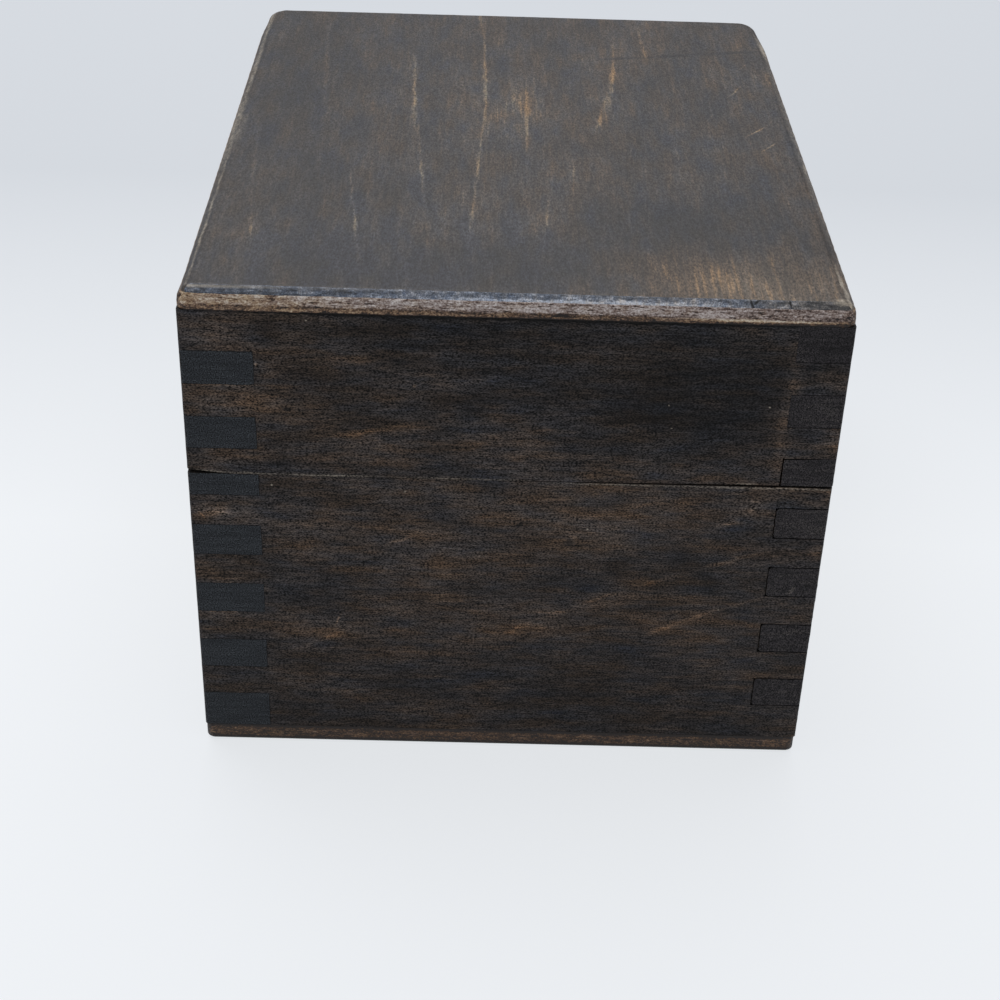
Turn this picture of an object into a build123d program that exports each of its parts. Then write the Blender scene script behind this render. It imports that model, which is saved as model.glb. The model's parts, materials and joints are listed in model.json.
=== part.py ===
from build123d import *
import os

# A small trinket box: a finger-jointed frame closed by a plywood panel above and below,
# then sawn apart into a base and a lid, with two surface hinges across the saw cut.
# Millimetres. The origin is on the underside of the base, at the middle of the wooden
# body. +X is to the right seen from the front, +Y is towards the back, +Z is up.

# Overall sizes of the wooden body
body_width = 73.0
body_depth = 94.0
base_height = 39.0
lid_height = 22.9
seam_gap = 0.12

# Wall stock. The right-hand wall is thinner than the left-hand one.
front_wall_thickness = 8.0
right_wall_thickness = 6.0
back_wall_thickness = 8.0
left_wall_thickness = 8.0
wall_corner_radius = 0.35

# Finger joints. The saw cut went through one row of fingers, so the row beside the
# seam is shorter than the others in both halves.
finger_pitch = 4.1
lid_sawn_finger = 3.4
base_sawn_finger = 2.85
tight_joint_gap = 0.04
open_joint_gap = 0.12

# Plywood panels, a little smaller than the frame that they are glued to
lid_panel_thickness = 2.5
base_panel_thickness = 2.5
panel_inset = 0.02
panel_chamfer_across = 1.05
panel_chamfer_down = 0.5
panel_front_corner_radius = 1.1
panel_back_corner_radius = 2.4
base_panel_corner_radius = 1.0
base_panel_chamfer = 0.4

# Butt hinges, screwed to the outside of the back
hinge_length = 18.0
hinge_leaf_width = 8.5
hinge_leaf_thickness = 0.8
hinge_leaf_corner_radius = 0.8
hinge_end_margin = 9.0
barrel_radius = 1.4
barrel_standoff = 0.1
knuckle_count = 3
knuckle_gap = 0.12
knuckle_relief = 0.2
pin_radius = 0.7
pin_clearance = 0.05
pin_stick_out = 0.2
pin_end_radius = 0.25

# Countersunk screws with a straight slot, two in each leaf
screw_spacing = 11.0
screw_shank_radius = 0.9
screw_head_radius = 1.61
screw_head_sink = 0.03
screw_length = 6.5
screw_point_length = 2.2
screw_point_radius = 0.12
screw_slot_width = 0.4
screw_slot_depth = 0.32
screw_fit = 0.04
pilot_hole_extra = 0.3

# Levels, measured up from the underside
base_frame_bottom = base_panel_thickness
base_top = base_height
seam_level = base_height + seam_gap / 2
lid_bottom = base_height + seam_gap
lid_frame_top = lid_bottom + lid_height - lid_panel_thickness

front_face_y = -body_depth / 2
back_face_y = body_depth / 2
left_face_x = -body_width / 2
right_face_x = body_width / 2

# The hinge axis lies at the level of the seam, a barrel's radius behind the back face
hinge_axis_y = back_face_y + barrel_standoff + barrel_radius
hinge_offset = body_width / 2 - hinge_end_margin - hinge_length / 2
screw_rise = (hinge_leaf_width + barrel_radius + knuckle_relief) / 2

os.makedirs("parts", exist_ok=True)


def keep(builder, label):
    """Name a finished piece and write it to its own file."""
    builder.part.label = label
    export_step(builder.part, f"parts/{label}.step")


def finger_rows(height, sawn_finger):
    """Rows of the finger joint from the sawn edge outwards, as (near, far) distances.

    The first row is the sawn one, then whole rows, and the last row takes what is left.
    """
    whole_rows = max(1, round((height - sawn_finger) / finger_pitch))
    lines = [0.0]
    lines += [sawn_finger + row * finger_pitch for row in range(whole_rows)]
    lines += [height]
    return list(zip(lines[:-1], lines[1:]))


def jointed_wall(label, outside, length, thickness, ends, bottom, top, rows, upward, screws=()):
    """One wall of the frame, drawn on its outside face as it is seen from outside.

    outside is the plane of that face, with its X along the wall and its Y up.
    ends is ((neighbour's thickness, joint gap, first notched row), ...) left then right.
    upward is true where the rows are counted up from the sawn edge.
    """
    height = top - bottom
    with BuildPart() as wall:
        with BuildSketch(outside):
            with Locations((0, (bottom + top) / 2)):
                Rectangle(length, height)
            for side, (neighbour_thickness, gap, first_notch) in zip((-1, 1), ends):
                notch_length = neighbour_thickness + gap
                for near, far in rows[first_notch::2]:
                    # A notch at either edge of the wall runs out past that edge
                    past_near = finger_pitch if near == 0 else gap / 2
                    past_far = finger_pitch if far == height else gap / 2
                    low = near - past_near
                    high = far + past_far
                    start = bottom + low if upward else top - low
                    end = bottom + high if upward else top - high
                    notch_height = abs(end - start)
                    with Locations((side * (length - notch_length) / 2, (start + end) / 2)):
                        Rectangle(notch_length, notch_height, mode=Mode.SUBTRACT)
        extrude(amount=-thickness)

        if screws:
            with BuildSketch(outside):
                with Locations(*screws):
                    Circle(screw_shank_radius + screw_fit)
            depth = screw_length - hinge_leaf_thickness + pilot_hole_extra
            extrude(amount=-depth, mode=Mode.SUBTRACT)

        outward = Axis(outside.origin, outside.z_dir)
        outer_face = wall.faces().filter_by(outward).sort_by(outward)[-1]
        upright = outer_face.edges().filter_by(Axis.Z)
        along = [outside.to_local_coords(edge.center()).X for edge in upright]
        corner_edges = [edge for edge, x in zip(upright, along) if abs(abs(x) - length / 2) < 0.001]
        fillet(corner_edges, wall_corner_radius)
    keep(wall, label)


# The four outside faces, each seen from outside with its X to the right and its Y up
front_outside = Plane((0, front_face_y, 0), x_dir=(1, 0, 0), z_dir=(0, -1, 0))
right_outside = Plane((right_face_x, 0, 0), x_dir=(0, 1, 0), z_dir=(1, 0, 0))
back_outside = Plane((0, back_face_y, 0), x_dir=(-1, 0, 0), z_dir=(0, 1, 0))
left_outside = Plane((left_face_x, 0, 0), x_dir=(0, -1, 0), z_dir=(-1, 0, 0))

# Round the box in the order front, right, back, left: a wall's left-hand neighbour is
# the one before it, and the gap is that of the corner at its left-hand end.
wall_names = ("front", "right", "back", "left")
wall_planes = (front_outside, right_outside, back_outside, left_outside)
wall_lengths = (body_width, body_depth, body_width, body_depth)
wall_thicknesses = (
    front_wall_thickness,
    right_wall_thickness,
    back_wall_thickness,
    left_wall_thickness,
)
left_end_gaps = (tight_joint_gap, open_joint_gap, tight_joint_gap, tight_joint_gap)

# Screw places on the back, as that face is seen from outside
screw_xs = [side * hinge_offset + step * screw_spacing / 2 for side in (-1, 1) for step in (-1, 1)]
lid_screw_places = [(x, seam_level + screw_rise) for x in screw_xs]
base_screw_places = [(x, seam_level - screw_rise) for x in screw_xs]

# In the lid each wall keeps the sawn row at its left-hand end. In the base, one row of
# the pattern further down, it keeps that row at its right-hand end.
lid_rows = finger_rows(lid_frame_top - lid_bottom, lid_sawn_finger)
base_rows = finger_rows(base_top - base_frame_bottom, base_sawn_finger)
frames = (
    ("lid", lid_bottom, lid_frame_top, lid_rows, True, 1, lid_screw_places),
    ("base", base_frame_bottom, base_top, base_rows, False, 0, base_screw_places),
)
for half, bottom, top, rows, upward, first_notch, screw_places in frames:
    for place, name in enumerate(wall_names):
        before = place - 1
        after = (place + 1) % len(wall_names)
        left_end = (wall_thicknesses[before], left_end_gaps[place], first_notch)
        right_end = (wall_thicknesses[after], left_end_gaps[after], 1 - first_notch)
        jointed_wall(
            f"{half}_{name}_wall",
            wall_planes[place],
            wall_lengths[place],
            wall_thicknesses[place],
            (left_end, right_end),
            bottom,
            top,
            rows,
            upward,
            screw_places if name == "back" else (),
        )

# Lid panel: plywood glued on top of the frame, its upper edges taken off by hand
with BuildPart() as lid_top_panel:
    with BuildSketch(Plane.XY.offset(lid_frame_top)):
        Rectangle(body_width - 2 * panel_inset, body_depth - 2 * panel_inset)
    extrude(amount=lid_panel_thickness)
    fillet(lid_top_panel.edges().filter_by(Axis.Z).group_by(Axis.Y)[0], panel_front_corner_radius)
    fillet(lid_top_panel.edges().filter_by(Axis.Z).group_by(Axis.Y)[-1], panel_back_corner_radius)
    top_face = lid_top_panel.faces().sort_by(Axis.Z)[-1]
    chamfer(top_face.edges(), panel_chamfer_across, panel_chamfer_down, reference=top_face)
keep(lid_top_panel, "lid_top_panel")

# Bottom panel: the same plywood under the base, its lower edges just broken
with BuildPart() as base_bottom_panel:
    with BuildSketch(Plane.XY):
        Rectangle(body_width - 2 * panel_inset, body_depth - 2 * panel_inset)
    extrude(amount=base_panel_thickness)
    fillet(base_bottom_panel.edges().filter_by(Axis.Z), base_panel_corner_radius)
    chamfer(base_bottom_panel.faces().sort_by(Axis.Z)[0].edges(), base_panel_chamfer)
keep(base_bottom_panel, "base_bottom_panel")

# One screw, standing on its point, with the head's top at the origin
screw_neck = screw_head_radius - screw_shank_radius
with BuildPart() as screw:
    with BuildSketch(Plane.XZ):
        with BuildLine():
            Polyline(
                (0, 0),
                (screw_head_radius, 0),
                (screw_shank_radius, -screw_neck),
                (screw_shank_radius, screw_point_length - screw_length),
                (screw_point_radius, -screw_length),
                (0, -screw_length),
                close=True,
            )
        make_face()
    revolve(axis=Axis.Z)
    with BuildSketch(Plane.XY):
        Rectangle(4 * screw_head_radius, screw_slot_width)
    extrude(amount=-screw_slot_depth, mode=Mode.SUBTRACT)

knuckle_length = (hinge_length - (knuckle_count - 1) * knuckle_gap) / knuckle_count
knuckle_step = knuckle_length + knuckle_gap
leaf_outside_y = back_face_y + hinge_leaf_thickness


def hinge_leaf(label, centre_x, up, own_knuckles):
    """A flat leaf on the back face, with every second knuckle rolled round the pin.

    up is 1 for the leaf on the lid and -1 for the leaf on the base.
    """
    inner_edge = barrel_radius + knuckle_relief
    leaf_middle = (inner_edge + hinge_leaf_width) / 2
    knuckle_xs = [
        centre_x + (number - (knuckle_count - 1) / 2) * knuckle_step for number in own_knuckles
    ]
    first_end = Plane.YZ.offset(-knuckle_length / 2)
    screw_points = [(centre_x + step * screw_spacing / 2, screw_rise) for step in (-1, 1)]
    # Seen from behind the box, with X turned to run the same way as the box's own
    behind = Plane((0, leaf_outside_y, seam_level), x_dir=(1, 0, 0), z_dir=(0, 1, 0))
    with BuildPart() as leaf:
        with BuildSketch(Plane((0, back_face_y, seam_level), x_dir=(1, 0, 0), z_dir=(0, 1, 0))):
            with Locations((centre_x, -up * leaf_middle)):
                Rectangle(hinge_length, hinge_leaf_width - inner_edge)
        extrude(amount=hinge_leaf_thickness)
        outer_end = leaf.edges().filter_by(Axis.Y).group_by(Axis.Z)[-1 if up > 0 else 0]
        fillet(outer_end, hinge_leaf_corner_radius)
        for knuckle_x in knuckle_xs:
            with BuildSketch(first_end.offset(knuckle_x)):
                with Locations((hinge_axis_y, seam_level)):
                    Circle(barrel_radius)
                strip_middle = back_face_y + hinge_leaf_thickness / 2
                with Locations((strip_middle, seam_level + up * inner_edge / 2)):
                    Rectangle(hinge_leaf_thickness, inner_edge)
                with Locations((hinge_axis_y, seam_level)):
                    Circle(pin_radius + pin_clearance, mode=Mode.SUBTRACT)
            extrude(amount=knuckle_length)
        with Locations(behind):
            with Locations(*[(x, -up * rise) for x, rise in screw_points]):
                CounterSinkHole(
                    screw_shank_radius + screw_fit,
                    screw_head_radius + screw_fit + screw_head_sink,
                    depth=hinge_leaf_thickness,
                    counter_sink_angle=90,
                )
    keep(leaf, label)


def leaf_screws(label, centre_x, up):
    """The two screws of one leaf, heads just below the leaf's surface."""
    head_top = Plane(
        (centre_x, leaf_outside_y - screw_head_sink, seam_level + up * screw_rise),
        x_dir=(1, 0, 0),
        z_dir=(0, 1, 0),
    )
    with BuildPart() as screws:
        with Locations(head_top):
            with GridLocations(screw_spacing, 1, 2, 1):
                add(screw.part)
    keep(screws, label)


def hinge_pin(label, centre_x):
    """The pin through all the knuckles, its ends rounded over."""
    pin_length = hinge_length + 2 * pin_stick_out
    with BuildPart() as pin:
        with BuildSketch(Plane.YZ.offset(centre_x - pin_length / 2)):
            with Locations((hinge_axis_y, seam_level)):
                Circle(pin_radius)
        extrude(amount=pin_length)
        fillet(pin.edges().filter_by(GeomType.CIRCLE), pin_end_radius)
    keep(pin, label)


# Two hinges: the base leaf holds the outer knuckles and the pin, the lid leaf the inner
base_knuckles = range(0, knuckle_count, 2)
lid_knuckles = range(1, knuckle_count, 2)
for name, centre_x in (("left", -hinge_offset), ("right", hinge_offset)):
    hinge_leaf(f"{name}_hinge_lid_leaf", centre_x, 1, lid_knuckles)
    hinge_leaf(f"{name}_hinge_base_leaf", centre_x, -1, base_knuckles)
    hinge_pin(f"{name}_hinge_pin", centre_x)
    leaf_screws(f"{name}_hinge_lid_screws", centre_x, 1)
    leaf_screws(f"{name}_hinge_base_screws", centre_x, -1)
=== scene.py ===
# %% [markdown]
# A small trinket box: a finger-jointed case of close-grained wood, glued up closed, sawn
# apart into a base and a lid, and stained nearly black. The imported model gives every piece
# at its real size and place. This lesson gives them their looks: rubbed edges, wood grain,
# plywood edges and brass. The frame is loaded first and its box is kept, and the worn pieces
# are held within its sides.

# %% Load the frame
import json
import math

import bmesh
import bpy
from mathutils import Matrix, Vector, noise

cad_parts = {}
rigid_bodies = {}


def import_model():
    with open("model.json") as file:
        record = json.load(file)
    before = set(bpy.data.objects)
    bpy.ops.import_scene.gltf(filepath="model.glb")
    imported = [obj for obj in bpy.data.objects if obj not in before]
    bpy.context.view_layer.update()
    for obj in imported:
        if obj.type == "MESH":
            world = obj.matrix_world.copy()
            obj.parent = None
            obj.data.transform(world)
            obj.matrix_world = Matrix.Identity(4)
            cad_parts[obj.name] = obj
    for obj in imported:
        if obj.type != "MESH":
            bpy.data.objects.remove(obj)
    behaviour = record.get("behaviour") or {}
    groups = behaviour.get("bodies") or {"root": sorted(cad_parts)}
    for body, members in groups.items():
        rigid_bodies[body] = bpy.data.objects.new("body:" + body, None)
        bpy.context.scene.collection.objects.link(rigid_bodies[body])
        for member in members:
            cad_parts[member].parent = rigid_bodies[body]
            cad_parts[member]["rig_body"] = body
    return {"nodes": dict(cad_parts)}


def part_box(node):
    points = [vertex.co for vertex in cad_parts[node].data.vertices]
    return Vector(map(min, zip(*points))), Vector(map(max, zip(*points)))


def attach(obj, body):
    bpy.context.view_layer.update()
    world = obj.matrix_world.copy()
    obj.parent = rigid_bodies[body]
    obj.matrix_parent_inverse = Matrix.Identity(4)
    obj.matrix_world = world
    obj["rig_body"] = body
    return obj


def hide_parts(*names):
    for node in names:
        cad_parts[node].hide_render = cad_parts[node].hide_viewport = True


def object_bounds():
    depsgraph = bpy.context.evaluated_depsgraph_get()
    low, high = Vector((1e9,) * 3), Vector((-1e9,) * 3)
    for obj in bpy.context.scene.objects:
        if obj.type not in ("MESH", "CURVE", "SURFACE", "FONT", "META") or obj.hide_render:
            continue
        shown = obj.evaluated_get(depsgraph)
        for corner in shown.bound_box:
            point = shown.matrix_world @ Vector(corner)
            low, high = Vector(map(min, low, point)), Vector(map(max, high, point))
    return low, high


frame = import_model()
cad_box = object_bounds()
scene = bpy.context.scene
scene.view_settings.view_transform = "Standard"
mm = 0.001
print("pieces in the frame:", len(frame["nodes"]))

# %% [markdown]
# The camera stands in front of the box and looks steeply down at the lid. It could be aimed
# by a constraint, but a place and three angles are easier to fine-tune against a picture. A
# long lens keeps the sides nearly straight. The slight yaw and roll are those of a camera
# held by hand.

# %% Camera
camera_place = Vector((-4.31, -223.06, 150.19)) * mm
camera_pitch = math.radians(32.87)
camera_yaw = math.radians(1.03)
camera_roll = math.radians(2.02)
focal_length = 66.33
film_width = 36.0
nearest_seen = 5 * mm

lens = bpy.data.cameras.new("camera")
lens.lens = focal_length
lens.sensor_width = film_width
lens.clip_start = nearest_seen
camera = bpy.data.objects.new("camera", lens)
scene.collection.objects.link(camera)
heading = Matrix.Rotation(-camera_yaw, 4, "Z")
tilt = Matrix.Rotation(math.pi / 2 - camera_pitch, 4, "X")
roll = Matrix.Rotation(camera_roll, 4, "Z")
camera.matrix_world = Matrix.Translation(camera_place) @ heading @ tilt @ roll
scene.camera = camera
print("camera at", [round(v, 4) for v in camera_place])

# %% [markdown]
# Colours are written as hex values, as a paint maker would, and turned to the linear values
# that a renderer works in. A second helper adds one shader node with its settings and links
# and returns one output, so that a material reads from top to bottom. It finds sockets by
# their identifiers, because a Mix node has several sockets of the same name.


# %% Colour and shader helpers
def colour(hex_value):
    """Turns an sRGB hex colour into the linear values that the shaders take."""
    channels = [int(hex_value[i : i + 2], 16) / 255 for i in (1, 3, 5)]
    linear = [c / 12.92 if c <= 0.04045 else ((c + 0.055) / 1.055) ** 2.4 for c in channels]
    return (*linear, 1.0)


def add_node(tree, kind, inputs, output=None, stops=(), **settings):
    """Adds a node with its options, stops and inputs. Returns an output, or the first."""
    node = tree.nodes.new(kind)
    for name, value in settings.items():
        setattr(node, name, value)
    for count, (position, hex_value) in enumerate(stops):
        band = node.color_ramp.elements
        stop = band[count] if count < len(band) else band.new(position)
        stop.position = position
        stop.color = colour(hex_value)
    sockets = {socket.identifier: socket for socket in node.inputs}
    for name, value in inputs.items():
        if isinstance(value, bpy.types.NodeSocket):
            tree.links.new(value, sockets[name])
        else:
            sockets[name].default_value = value
    outputs = {socket.identifier: socket for socket in node.outputs}
    return outputs[output] if output else node.outputs[0]


def new_material(name, **sockets):
    """A Principled material, with what is the same all over set on its own sockets."""
    material = bpy.data.materials.new(name)
    material.use_nodes = True
    shader = material.node_tree.nodes["Principled BSDF"]
    for socket, value in sockets.items():
        shader.inputs[socket.replace("_", " ")].default_value = value
    return material, material.node_tree, shader


print("a nearly black stain is", [round(v, 3) for v in colour("#2a2422")[:3]])

# %% [markdown]
# The box stands on a plain pale floor. A backdrop could stand behind it, but one floor does
# for every side. It throws some light back up on the front. What the camera or a polished
# surface sees of it is blended with a pale tone that darkens a little towards the back. That
# lightens the background and leaves the soft light on the box, and its shadow, as they are.

# %% Floor
floor_side = 30.0
background_share = 0.74
background_near, background_far = colour("#f9fcff"), colour("#d1d6dc")
background_fade = 0.13

floor_shape = bmesh.new()
bmesh.ops.create_grid(floor_shape, x_segments=1, y_segments=1, size=floor_side / 2)
floor_mesh = bpy.data.meshes.new("floor")
floor_shape.to_mesh(floor_mesh)
floor_shape.free()
floor = bpy.data.objects.new("floor", floor_mesh)
scene.collection.objects.link(floor)
floor_paint, floor_tree, floor_shader = new_material(
    "pale matt floor", Roughness=0.9, Base_Color=colour("#e6e8ec")
)
pale_share = 0.0
for ray in ("Is Camera Ray", "Is Glossy Ray", "Is Transmission Ray"):
    pale_share = add_node(
        floor_tree,
        "ShaderNodeMath",
        {
            "Value": add_node(floor_tree, "ShaderNodeLightPath", {}, ray),
            "Value_001": background_share,
            "Value_002": pale_share,
        },
        operation="MULTIPLY_ADD",
    )
floor_place = add_node(floor_tree, "ShaderNodeTexCoord", {}, "Object")
distance = add_node(floor_tree, "ShaderNodeSeparateXYZ", {"Vector": floor_place}, "Y")
far_share = add_node(
    floor_tree,
    "ShaderNodeMapRange",
    {"Value": distance, "From Min": 0.0, "From Max": background_fade},
)
backdrop = add_node(
    floor_tree,
    "ShaderNodeMix",
    {"Factor_Float": far_share, "A_Color": background_near, "B_Color": background_far},
    "Result_Color",
    data_type="RGBA",
)
background = add_node(floor_tree, "ShaderNodeEmission", {"Color": backdrop, "Strength": 1.0})
mixed = add_node(
    floor_tree,
    "ShaderNodeMixShader",
    {"Fac": pale_share, "Shader": floor_shader.outputs["BSDF"], "Shader_001": background},
)
floor_tree.links.new(mixed, floor_tree.nodes["Material Output"].inputs["Surface"])
floor_mesh.materials.append(floor_paint)
print("floor", floor_side, "m square")

# %% [markdown]
# One large soft light hangs a little behind the box, so that the lid is lit and the front is
# in shade. A second lamp in front could fill the shade, but an even, faint light from all
# round does it without a second shadow.

# %% Light and world
lamp_side = 0.9
lamp_place = Vector((-0.12, 0.36, 0.76))
lamp_power = 5.4
world_strength = 0.42

lamp_data = bpy.data.lights.new("softbox", "AREA")
lamp_data.shape = "SQUARE"
lamp_data.size = lamp_side
lamp_data.energy = lamp_power
lamp = bpy.data.objects.new("softbox", lamp_data)
lamp.location = lamp_place
lamp.rotation_euler = (-lamp_place).to_track_quat("-Z", "Y").to_euler()
scene.collection.objects.link(lamp)

world = bpy.data.worlds.new("soft room")
world.use_nodes = True
world.node_tree.nodes["Background"].inputs["Color"].default_value = colour("#f4f7ff")
world.node_tree.nodes["Background"].inputs["Strength"].default_value = world_strength
scene.world = world
print("lamp", lamp_side, "m square,", lamp_power, "W; world", world_strength)

# %% [markdown]
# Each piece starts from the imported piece. A copy of its loose triangles is welded, and its
# flat faces are joined up again. Then its edges are cut into short steps, so that a joint
# line can wander a little as a hand-sawn one does, and the sharp edges are eased. A Bevel
# modifier could ease them too, but the operator can be kept to the edges near one place.
# Faces are shaded smooth with weighted normals, which keep the large flat ones flat.

# %% Worn copies
weld = 0.002 * mm
flat_angle = math.radians(1.0)
sharp_angle = math.radians(40.0)
longest_in_steps = 1.5
flat_face_weight = 100


def everywhere(place):
    return True


def welded_copy(node):
    shape = bmesh.new()
    shape.from_mesh(frame["nodes"][node].data)
    bmesh.ops.remove_doubles(shape, verts=shape.verts, dist=weld)
    bmesh.ops.dissolve_limit(shape, angle_limit=flat_angle, verts=shape.verts, edges=shape.edges)
    return shape


def middle(edge):
    return (edge.verts[0].co + edge.verts[1].co) / 2


def cut_edges(shape, step, near=everywhere):
    """Halves the edges near a place until none is much longer than a step."""
    longest = longest_in_steps * step
    while True:
        edges = [edge for edge in shape.edges if edge.calc_length() > longest and near(middle(edge))]
        if not edges:
            return
        bmesh.ops.subdivide_edges(shape, edges=edges, cuts=1)


def bevel(shape, edges, ease, segments=2):
    bmesh.ops.bevel(
        shape,
        geom=edges,
        offset=ease,
        offset_type="OFFSET",
        affect="EDGES",
        segments=segments,
        profile=0.5,
        material=-1,
        clamp_overlap=True,
    )


def ease_edges(shape, ease, near=everywhere):
    """Rounds the sharp edges near a place."""
    sharp = [
        edge
        for edge in shape.edges
        if edge.is_manifold and edge.calc_face_angle() > sharp_angle and near(middle(edge))
    ]
    bevel(shape, sharp, ease)


print("points closer than", weld / mm, "mm are welded")

# %% [markdown]
# A finished shape becomes an object that rides on the same body as its imported piece and
# stands for it. A chooser gives each face one of the piece's materials.


# %% Finished pieces
def finish_piece(shape, name, node, materials, choose=lambda face: 0):
    """Makes the object, gives each face its material, and lets it stand for its node."""
    mesh = bpy.data.meshes.new(name)
    for face in shape.faces:
        face.smooth = True
        face.material_index = choose(face)
    shape.to_mesh(mesh)
    shape.free()
    for material in materials:
        mesh.materials.append(material)
    piece = bpy.data.objects.new(name, mesh)
    scene.collection.objects.link(piece)
    flat_faces = piece.modifiers.new("flat faces stay flat", "WEIGHTED_NORMAL")
    flat_faces.weight = flat_face_weight
    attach(piece, frame["nodes"][node]["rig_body"])
    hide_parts(node)
    print(name, len(mesh.polygons), "faces")


# %% [markdown]
# Wood grain is noise drawn out along the board. A wave texture draws grain too, but its lines
# are too even for birch. Every pattern is set by a real size in millimetres: how far apart its
# lines lie, and how long they run. Patterns are then weighed up against each other.

# %% Grain
x_axis, y_axis, z_axis = range(3)
seed_steps = (1, 2.3, 3.7)


def in_millimetres(tree):
    place = add_node(tree, "ShaderNodeTexCoord", {}, "Object")
    return add_node(tree, "ShaderNodeMapping", {"Vector": place, "Scale": (1 / mm,) * 3})


def grain_lines(tree, place, along, size, seed, detail=2.0, roughness=0.6):
    """Noise whose lines lie a spacing apart and run for a length along one axis."""
    spacing, length = size
    scale = [1 / spacing] * 3
    scale[along] = 1 / length
    drawn_out = add_node(
        tree,
        "ShaderNodeMapping",
        {"Vector": place, "Scale": scale, "Location": [seed * step for step in seed_steps]},
    )
    return add_node(
        tree,
        "ShaderNodeTexNoise",
        {"Vector": drawn_out, "Scale": 1.0, "Detail": detail, "Roughness": roughness},
    )


def weigh_up(tree, start, *weighted):
    """A starting value plus each pattern times its weight, patterns counted from 0.5."""
    total = start - sum(weight / 2 for _, weight in weighted)
    for pattern, weight in weighted:
        total = add_node(
            tree,
            "ShaderNodeMath",
            {"Value": pattern, "Value_001": weight, "Value_002": total},
            operation="MULTIPLY_ADD",
        )
    return total


print("grain is drawn in millimetres:", 1 / mm, "to a metre")

# %% [markdown]
# Marks that belong to this box, such as a pale streak, a scratch or a rubbed patch, are soft
# ellipses. They could be painted on a picture, but drawn ones stay sharp at any size. Each
# row of a list of marks gives the two distances of one end, those of the other end, a breadth
# and a strength. A smooth noise moves them about a little, and the grain breaks them up, so
# that none keeps its outline.

# %% Marks
endless = 1e4


def marks(tree, place, axes, strokes, total=0.0):
    """Adds soft ellipses to a value: both ends of each, its breadth and its strength."""
    first, second = axes
    third = 3 - first - second
    for x0, y0, x1, y1, breadth, strength in strokes:
        centre, turn, size = Vector(), Vector(), Vector((endless,) * 3)
        centre[first], centre[second] = (x0 + x1) / 2, (y0 + y1) / 2
        size[first], size[second] = math.hypot(x1 - x0, y1 - y0) / 2, breadth
        turn[third] = math.atan2(y1 - y0, x1 - x0) * (-1 if third == y_axis else 1)
        spot = add_node(
            tree,
            "ShaderNodeMapping",
            {"Vector": place, "Location": centre, "Rotation": turn, "Scale": size},
            vector_type="TEXTURE",
        )
        soft = add_node(
            tree, "ShaderNodeTexGradient", {"Vector": spot}, "Fac", gradient_type="SPHERICAL"
        )
        total = add_node(
            tree,
            "ShaderNodeMath",
            {"Value": soft, "Value_001": strength, "Value_002": total},
            operation="MULTIPLY_ADD",
        )
    return total


def stray(tree, place, seed, reach, spacing):
    """The same place moved about by a smooth noise, by up to a reach."""
    wave = add_node(
        tree,
        "ShaderNodeMapping",
        {"Vector": place, "Scale": [1 / spacing] * 3, "Location": (seed,) * 3},
    )
    shift = add_node(
        tree, "ShaderNodeTexNoise", {"Vector": wave, "Scale": 1.0, "Detail": 3.0}, "Color"
    )
    both_ways = add_node(
        tree,
        "ShaderNodeVectorMath",
        {"Vector": shift, "Vector_001": (0.5,) * 3},
        operation="SUBTRACT",
    )
    return add_node(
        tree,
        "ShaderNodeVectorMath",
        {"Vector": both_ways, "Vector_001": (2 * reach,) * 3, "Vector_002": place},
        operation="MULTIPLY_ADD",
    )


def counted_from(level, strokes):
    """Marks whose second distance is counted from a level, moved to their place."""
    return [(x0, y0 + level, x1, y1 + level, *rest) for x0, y0, x1, y1, *rest in strokes]


print("an ellipse is endless, or", endless, "mm, along the third axis")

# %% [markdown]
# The box has a water stain the colour of dark walnut, rubbed down to a satin surface. A slow
# pattern picks its tone, from nearly black to tan. Pores are too fine to change the colour.
# They only make it lighter or darker, which gives the eye the dry, speckled look of stained
# wood. The cast, a second slow pattern, leans the colour towards blue or amber, as uneven
# stain does. Where wear has gone through the stain, the dusty wood below is mixed in.

# %% Stain
stain_tones = (
    (0.0, "#131212"), (0.3, "#272525"), (0.5, "#3b3735"), (0.72, "#594e45"),
    (1.0, "#8c745f"),
)
cast_tones = (
    (0.1, "#c2d9ff"), (0.3, "#e2ecfa"), (0.5, "#f4f2f1"), (0.7, "#ffedd9"),
    (1.0, "#ffe6c6"),
)
bare_wood = colour("#aba08f")
pore_depth = 0.06 * mm
pore_bump = 0.4


def stained_surface(
    tree, shader, tone, tones, pores, speckle, uneven_gloss, rubbed=None, cast=None
):
    """Turns a tone into colour, and the pores into speckle, bump and uneven gloss."""
    light_and_dark = weigh_up(tree, 1.0, (pores, speckle))
    shades = [light_and_dark]
    if cast is not None:
        shades.append(add_node(tree, "ShaderNodeValToRGB", {"Fac": cast}, stops=cast_tones))
    tint = add_node(tree, "ShaderNodeValToRGB", {"Fac": tone}, stops=tones)
    for shade in reversed(shades):
        tint = add_node(
            tree,
            "ShaderNodeMix",
            {"Factor_Float": 1.0, "A_Color": tint, "B_Color": shade},
            "Result_Color",
            data_type="RGBA",
            blend_type="MULTIPLY",
        )
    if rubbed is not None:
        broken_up = add_node(
            tree,
            "ShaderNodeMath",
            {"Value": rubbed, "Value_001": light_and_dark},
            operation="MULTIPLY",
        )
        tint = add_node(
            tree,
            "ShaderNodeMix",
            {"Factor_Float": broken_up, "A_Color": tint, "B_Color": bare_wood},
            "Result_Color",
            data_type="RGBA",
        )
    tree.links.new(tint, shader.inputs["Base Color"])
    gloss = weigh_up(tree, shader.inputs["Roughness"].default_value, (pores, uneven_gloss))
    tree.links.new(gloss, shader.inputs["Roughness"])
    bump = add_node(
        tree,
        "ShaderNodeBump",
        {"Height": pores, "Strength": pore_bump, "Distance": pore_depth},
    )
    tree.links.new(bump, shader.inputs["Normal"])


print("stain tones:", [tone for _, tone in stain_tones])

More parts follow.
